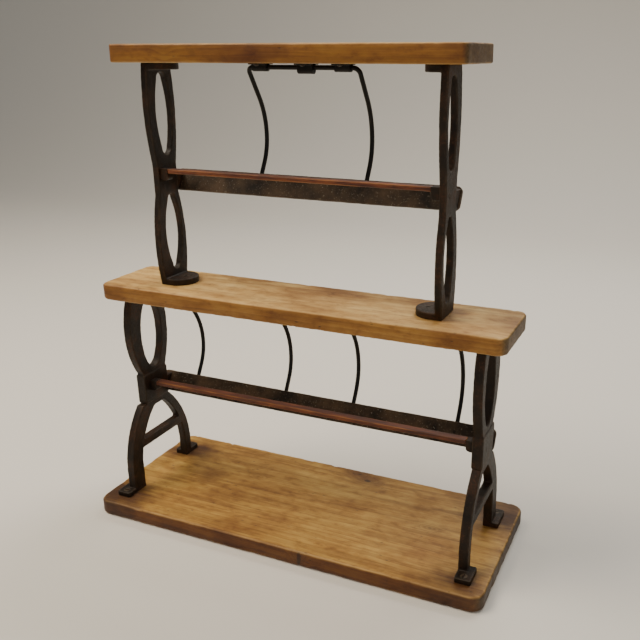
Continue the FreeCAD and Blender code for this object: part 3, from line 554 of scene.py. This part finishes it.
# Geometry Nodes: a round wire drawn along the path that the object's edges hold
def wireTree(name):
    tree = bpy.data.node_groups.new(name, "GeometryNodeTree")
    face = tree.interface
    face.new_socket("Path", in_out="INPUT", socket_type="NodeSocketGeometry")
    face.new_socket("Wire Radius", in_out="INPUT", socket_type="NodeSocketFloat").default_value = 0.0025
    face.new_socket("Sides", in_out="INPUT", socket_type="NodeSocketInt").default_value = 18
    face.new_socket("Material", in_out="INPUT", socket_type="NodeSocketMaterial")
    face.new_socket("Wire", in_out="OUTPUT", socket_type="NodeSocketGeometry")
    given = addNode(tree, "NodeGroupInput", give=None).outputs
    curve = addNode(tree, "GeometryNodeMeshToCurve", {"Mesh": given["Path"]})
    ring = addNode(tree, "GeometryNodeCurvePrimitiveCircle", {"Resolution": given["Sides"],
                                                              "Radius": given["Wire Radius"]})
    skin = addNode(tree, "GeometryNodeCurveToMesh", {"Curve": curve, "Profile Curve": ring,
                                                     "Fill Caps": True})
    smooth = addNode(tree, "GeometryNodeSetShadeSmooth", {"Geometry": skin})
    real = addNode(tree, "GeometryNodeRealizeInstances", {"Geometry": smooth})
    painted = addNode(tree, "GeometryNodeSetMaterial", {"Geometry": real, "Material": given["Material"]})
    addNode(tree, "NodeGroupOutput", {"Wire": painted}, None)
    return tree


def setInput(modifier, label, value):
    for item in modifier.node_group.interface.items_tree:
        if item.item_type == "SOCKET" and item.in_out == "INPUT" and item.name == label:
            modifier[item.identifier] = value


def pathOf(start, heading, moves, stepMm=1.6):
    # straight runs and arcs in the YZ plane; heading is measured from +Z towards +Y
    points, at = [Vector(start)], Vector(start)
    for radius, amount in moves:
        if radius == 0:
            count = max(1, int(amount / stepMm))
            for i in range(count):
                at = at + Vector((0, math.sin(heading), math.cos(heading))) * (amount / count)
                points.append(at.copy())
        else:
            count = max(2, int(abs(amount) * radius / stepMm))
            for i in range(count):
                heading += amount / count / 2
                chord = 2 * radius * math.sin(abs(amount) / count / 2)
                at = at + Vector((0, math.sin(heading), math.cos(heading))) * chord
                points.append(at.copy())
                heading += amount / count / 2
    return points, heading


hoops = {"width": 131.5, "wire": 5.0, "corner": 7.0, "footRun": 4.0, "footStraight": 19.7, "lowBow": 60.0,
         "highBow": 76.0, "topTurn": math.radians(33.5), "tabLength": 15.0, "tabWidth": 8.5, "tabThick": 2.6,
         "barGap": 2.0, "cornerSteps": 8, "barSteps": 40}
hoopTree = wireTree("wireAlongPath")


def hoopPath(start, barZ):
    # one leg from behind the plate up to the bar, the corner, the bar, and the same mirrored
    lean, corner, half = plates["lean"], hoops["corner"], hoops["width"] / 2
    moves = [(0, hoops["footStraight"]), (hoops["lowBow"], -lean), (hoops["highBow"], -hoops["topTurn"])]
    bowed = pathOf(start, lean, moves)[0][-1]
    rest = (barZ - bowed.z) / math.cos(hoops["topTurn"]) - corner
    leg, heading = pathOf(start, lean, moves + [(0, rest)])
    ahead = Vector((0, math.sin(heading), math.cos(heading)))
    points = [p + Vector((-half, 0, 0)) for p in leg]
    for i in range(1, hoops["cornerSteps"] + 1):
        angle = math.pi / 2 * i / hoops["cornerSteps"]
        aside = Vector((-half + corner * (1 - math.cos(angle)), 0, 0))
        points.append(leg[-1] + aside + ahead * (corner * math.sin(angle)))
    mirrored = [Vector((-p.x, p.y, p.z)) for p in reversed(points[:-1])]
    barEnd = Vector((half - corner, points[-1].y, points[-1].z))
    bar = [points[-1].lerp(barEnd, i / hoops["barSteps"]) for i in range(1, hoops["barSteps"] + 1)]
    return points + bar + mirrored


def makeHoop(node, plateNode, boardNode):
    at = plateFrames[plateNode]
    centre = boxMiddle(node)[0].x
    start = at @ Vector((0, (plates["width"] / 2 - hoops["footRun"]) * mm,
                         -(plates["thick"] + hoops["wire"]) / 2 * mm))
    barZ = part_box(boardNode)[0].z / mm - hoops["barGap"] - hoops["wire"] / 2
    points = hoopPath(Vector((0, start.y, start.z)) / mm, barZ)
    mesh = bpy.data.meshes.new("path_" + node)
    mesh.from_pydata([p * mm + Vector((centre, 0, 0)) for p in points],
                     [(i, i + 1) for i in range(len(points) - 1)], [])
    wire = newObject("work_" + node, mesh)
    modifier = wire.modifiers.new("wire", "NODES")
    modifier.node_group = hoopTree
    setInput(modifier, "Wire Radius", hoops["wire"] / 2 * mm)
    setInput(modifier, "Material", materials["wire"])
    wire = bakeModifiers(wire, "visual_" + node, materials["wire"])
    whole = bmesh.new()
    whole.from_mesh(wire.data)
    up = plates["width"] / 2 - hoops["footRun"] / 2 - hoops["tabLength"] / 2
    tab = {"length": hoops["tabWidth"], "depth": hoops["tabLength"], "thick": hoops["tabThick"], "step": 2.0,
           "inner": [2.5], "corner": 3.0, "ease": 0.9, "seed": 4, "rub": 0.1, "nick": 0.0}
    for side in (-1, 1):
        spot = Matrix.Translation((centre + side * hoops["width"] / 2 * mm - at.translation.x, 0, 0)) @ at
        spot = spot @ Matrix.Translation((0, up * mm, -(plates["thick"] / 2 + hoops["tabThick"]) * mm))
        foot = easedSlab("foot", tab, materials["wire"], spot)
        whole.from_mesh(foot.data)
        bpy.data.objects.remove(foot)
    whole.to_mesh(wire.data)
    whole.free()
    smoothShade(wire.data, math.radians(50))
    place(wire, "black_wire", node)


for node, plateNode, boardNode in (("upper_hoop", "upper_tray_plate", "top_board"),
                                   ("lower_left_hoop", "lower_tray_plate", "middle_board"),
                                   ("lower_right_hoop", "lower_tray_plate", "middle_board")):
    makeHoop(node, plateNode, boardNode)
print("hoops: 3")


# Geometry Nodes: one fastener set on each point, turned by the point's own angles
def fastenerTree(name):
    tree = bpy.data.node_groups.new(name, "GeometryNodeTree")
    face = tree.interface
    face.new_socket("Points", in_out="INPUT", socket_type="NodeSocketGeometry")
    face.new_socket("Fastener", in_out="INPUT", socket_type="NodeSocketObject")
    face.new_socket("Size", in_out="INPUT", socket_type="NodeSocketFloat").default_value = 1.0
    face.new_socket("Material", in_out="INPUT", socket_type="NodeSocketMaterial")
    face.new_socket("Fasteners", in_out="OUTPUT", socket_type="NodeSocketGeometry")
    given = addNode(tree, "NodeGroupInput", give=None).outputs
    shape = addNode(tree, "GeometryNodeObjectInfo", {"Object": given["Fastener"]}, "Geometry")
    angles = addNode(tree, "GeometryNodeInputNamedAttribute", {"Name": "angles"}, "Attribute",
                     data_type="FLOAT_VECTOR")
    turned = addNode(tree, "FunctionNodeEulerToRotation", {"Euler": angles})
    spots = addNode(tree, "GeometryNodeMeshToPoints", {"Mesh": given["Points"]})
    copies = addNode(tree, "GeometryNodeInstanceOnPoints", {"Points": spots, "Instance": shape,
                                                            "Rotation": turned, "Scale": given["Size"]})
    real = addNode(tree, "GeometryNodeRealizeInstances", {"Geometry": copies})
    painted = addNode(tree, "GeometryNodeSetMaterial", {"Geometry": real, "Material": given["Material"]})
    addNode(tree, "NodeGroupOutput", {"Fasteners": painted}, None)
    return tree


def latheShape(name, outline, slot=None, sides=28):
    # outline: radius and height in mm from the tip to the crown, then an optional screwdriver slot
    work = bmesh.new()
    worn = work.verts.layers.float.new("wear")
    rings = []
    for radius, z, wear in outline:
        ring = []
        for i in range(sides):
            angle = 2 * math.pi * i / sides
            vertex = work.verts.new((radius * mm * math.cos(angle), radius * mm * math.sin(angle), z * mm))
            vertex[worn] = wear
            ring.append(vertex)
        rings.append(ring)
    for low, high in zip(rings, rings[1:]):
        for i in range(sides):
            j = (i + 1) % sides
            work.faces.new((low[i], low[j], high[j], high[i]))
    work.faces.new(list(reversed(rings[0])))
    work.faces.new(rings[-1])
    mesh = bpy.data.meshes.new(name)
    work.to_mesh(mesh)
    work.free()
    shape = newObject(name, mesh)
    if slot:
        cutter = bmesh.new()
        bmesh.ops.create_cube(cutter, size=1.0)
        bmesh.ops.scale(cutter, vec=(slot["long"] * mm, slot["wide"] * mm, slot["deep"] * 2 * mm),
                        verts=cutter.verts)
        bmesh.ops.translate(cutter, vec=(0, 0, slot["top"] * mm), verts=cutter.verts)
        cutterMesh = bpy.data.meshes.new("cutter")
        cutter.to_mesh(cutterMesh)
        cutter.free()
        blade = newObject("cutter", cutterMesh)
        cut = shape.modifiers.new("slot", "BOOLEAN")
        cut.object = blade
        cut.solver = "EXACT"
        shape = bakeModifiers(shape, name, None)
        bpy.data.objects.remove(blade)
    smoothShade(shape.data, math.radians(35))
    return shape


def islandBoxes(node):
    # the separate solids of a CAD node, as box corners in metres
    work = bmesh.new()
    work.from_mesh(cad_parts[node].data)
    bmesh.ops.remove_doubles(work, verts=work.verts, dist=0.001 * mm)
    seen, boxes = set(), []
    for first in work.verts:
        if first in seen:
            continue
        stack, group = [first], []
        seen.add(first)
        while stack:
            vertex = stack.pop()
            group.append(vertex.co.copy())
            for edge in vertex.link_edges:
                other = edge.other_vert(vertex)
                if other not in seen:
                    seen.add(other)
                    stack.append(other)
        boxes.append((Vector([min(p[i] for p in group) for i in range(3)]),
                      Vector([max(p[i] for p in group) for i in range(3)])))
    work.free()
    return boxes


# from the tip up: radius, height and wear; the head meets its surface at height 0. Then the slot.
fastenerOutlines = {
    "woodScrew": ([(0.4, -20, 0), (1.2, -18, 0), (2.0, -15, 0), (2.0, -2.2, 0), (3.8, -0.35, 0.3),
                   (4.0, -0.1, 1), (3.9, 0.12, 1), (2.6, 0.34, 0.6), (1.0, 0.45, 0.4), (0.3, 0.47, 0.4)],
                  {"long": 9.0, "wide": 1.1, "deep": 0.9, "top": 0.6}),
    "clipScrew": ([(0.3, -12, 0), (1.4, -10, 0), (1.4, 0, 0), (2.8, 0, 0.2), (2.75, 0.5, 0.8),
                   (2.2, 1.2, 1), (1.3, 1.65, 0.8), (0.4, 1.8, 0.7)],
                  {"long": 7.0, "wide": 0.8, "deep": 0.8, "top": 1.9}),
    "boltHead": ([(2.0, -15.5, 0), (2.0, 0, 0), (4.25, 0, 0.3), (4.1, 0.9, 0.9), (3.5, 1.9, 1),
                  (2.4, 2.65, 0.9), (1.1, 2.95, 0.7), (0.3, 3.0, 0.7)], None),
    "rivet": ([(0.4, -6.68, 0.3), (1.6, -6.66, 0.3), (1.8, -6.55, 0), (1.8, 0, 0), (3.2, 0, 0),
               (3.1, 0.3, 0.8), (2.3, 1.1, 1), (1.2, 1.5, 0.7), (0.3, 1.6, 0.7)], None),
    "pin": ([(1.6, -17, 0), (2.0, -16.6, 0), (2.0, -0.5, 0), (1.95, -0.1, 1), (1.5, 0.12, 1),
             (0.3, 0.2, 0.6)], None),
}
fastenerShapes = {name: latheShape(name, outline, slot) for name, (outline, slot) in fastenerOutlines.items()}
clipScrewRise = 1.8
spinSteps = (1.7, 2.3)
backwards = (-math.pi / 2 - plates["lean"], 0, 0)
# node: shape, which face of each solid its crown is on, and the turn that points the crown that way
fastenerPlaces = {
    "lower_foot_screws": ("woodScrew", "top", (0, 0, 0)),
    "upper_foot_screws": ("woodScrew", "top", (0, 0, 0)),
    "lower_bracket_top_screws": ("woodScrew", "bottom", (math.pi, 0, 0)),
    "upper_bracket_top_screws": ("woodScrew", "bottom", (math.pi, 0, 0)),
    "lower_clip_screws": ("clipScrew", "clip", (math.pi, 0, 0)),
    "upper_clip_screws": ("clipScrew", "clip", (math.pi, 0, 0)),
    "lower_plate_bolts": ("boltHead", "plateBack", backwards),
    "upper_plate_bolts": ("boltHead", "plateBack", backwards),
    "lower_hoop_rivets": ("rivet", "footBack", backwards),
    "upper_hoop_rivets": ("rivet", "footBack", backwards),
    "lower_socket_rivets": ("pin", "outer", (0, math.pi / 2, 0)),
    "upper_socket_rivets": ("pin", "outer", (0, math.pi / 2, 0)),
}
fastenersTree = fastenerTree("fastenersOnPoints")


def crownOf(low, high, where, node):
    middle = (low + high) / 2
    if where == "top":
        return Vector((middle.x, middle.y, high.z))
    if where == "bottom":
        return Vector((middle.x, middle.y, low.z))
    if where == "clip":
        return Vector((middle.x, middle.y, low.z + clipScrewRise * mm))
    if where == "outer":
        return Vector((high.x if middle.x > 0 else low.x, middle.y, middle.z))
    at = plateFrames[node.split("_")[0] + "_tray_plate"]
    local = at.inverted() @ middle
    local.z = -(plates["thick"] / 2 + (hoops["tabThick"] if where == "footBack" else 0)) * mm
    return at @ local


for number, (node, (shapeName, where, turn)) in enumerate(fastenerPlaces.items()):
    crowns = [crownOf(low, high, where, node) for low, high in islandBoxes(node)]
    mesh = bpy.data.meshes.new("points_" + node)
    mesh.from_pydata(crowns, [], [])
    angles = mesh.attributes.new("angles", "FLOAT_VECTOR", "POINT")
    for i, crown in enumerate(crowns):
        spin = (number * spinSteps[0] + i * spinSteps[1]) % math.pi
        facing = Matrix.Rotation(turn[0], 3, "X")
        facing = facing @ Matrix.Rotation(turn[1] * math.copysign(1, crown.x), 3, "Y")
        angles.data[i].vector = (facing @ Matrix.Rotation(spin, 3, "Z")).to_euler()
    holder = newObject("work_" + node, mesh)
    modifier = holder.modifiers.new("fasteners", "NODES")
    modifier.node_group = fastenersTree
    setInput(modifier, "Fastener", fastenerShapes[shapeName])
    setInput(modifier, "Material", materials["fastener"])
    piece = bakeModifiers(holder, "visual_" + node, materials["fastener"])
    place(piece, "fastener_steel", node)
for shape in fastenerShapes.values():
    bpy.data.objects.remove(shape)
print("fastener groups:", len(fastenerPlaces))


# a curved paper sweep, three soft lamps and the camera
studio = {"halfWidth": 7.0, "front": -7.0, "bendStart": 1.6, "bend": 1.4, "top": 5.0, "paper": "#dcd8d0",
          "world": "#eceae6", "worldStrength": 0.36}
profile = [(studio["front"], 0.0)]
for i in range(17):
    angle = math.pi / 2 * i / 16
    profile.append((studio["bendStart"] + studio["bend"] * math.sin(angle),
                    studio["bend"] * (1 - math.cos(angle))))
profile.append((profile[-1][0], studio["top"]))
floorMesh = bpy.data.meshes.new("studioPaper")
floorMesh.from_pydata([(side * studio["halfWidth"], y, z) for y, z in profile for side in (-1, 1)], [],
                      [(2 * i, 2 * i + 1, 2 * i + 3, 2 * i + 2) for i in range(len(profile) - 1)])
floorMesh.shade_smooth()
floorMaterial, add = newMaterial("palePaper")
paper = add("ShaderNodeBsdfPrincipled", {"Base Color": linearColour(studio["paper"]), "Roughness": 0.9},
            "BSDF")
add("ShaderNodeOutputMaterial", {"Surface": paper}, None)
floor = newObject("studioPaper", floorMesh, floorMaterial)
world = bpy.data.worlds.new("studioWorld")
bpy.context.scene.world = world
world.use_nodes = True
world.node_tree.nodes["Background"].inputs["Color"].default_value = linearColour(studio["world"])
world.node_tree.nodes["Background"].inputs["Strength"].default_value = studio["worldStrength"]


def softLight(name, spot, target, width, watts, tint):
    lamp = bpy.data.lights.new(name, "AREA")
    lamp.shape = "DISK"
    lamp.size = width
    lamp.energy = watts
    lamp.color = linearColour(tint)[:3]
    holder = bpy.data.objects.new(name, lamp)
    bpy.context.collection.objects.link(holder)
    holder.location = spot
    holder.rotation_euler = (Vector(target) - Vector(spot)).to_track_quat("-Z", "Y").to_euler()


softLight("keyLight", (-0.9, -0.35, 1.9), (0, 0, 0.25), 1.2, 40.0, "#fff0da")
softLight("backLight", (0.3, 1.1, 1.8), (0, 0.4, 0.3), 1.2, 26.0, "#fbf7f0")
softLight("fillLight", (1.3, -1.4, 0.9), (0, 0, 0.25), 1.0, 4.0, "#f4f0ea")

camera = {"at": (0.40494, -0.74516, 0.54964), "azimuth": 22.977, "elevation": 19.93, "lens": 43.62,
          "shift": (-0.08486, 0.02222)}
lens = bpy.data.cameras.new("benchCamera")
lens.lens = camera["lens"]
lens.sensor_width = 36.0
lens.shift_x, lens.shift_y = camera["shift"]
lens.dof.use_dof = False
lens.clip_start = 0.01
view = bpy.data.objects.new("benchCamera", lens)
bpy.context.collection.objects.link(view)
view.location = camera["at"]
view.rotation_euler = (math.radians(90 - camera["elevation"]), 0, math.radians(camera["azimuth"]))
bpy.context.scene.camera = view
print("studio ready")
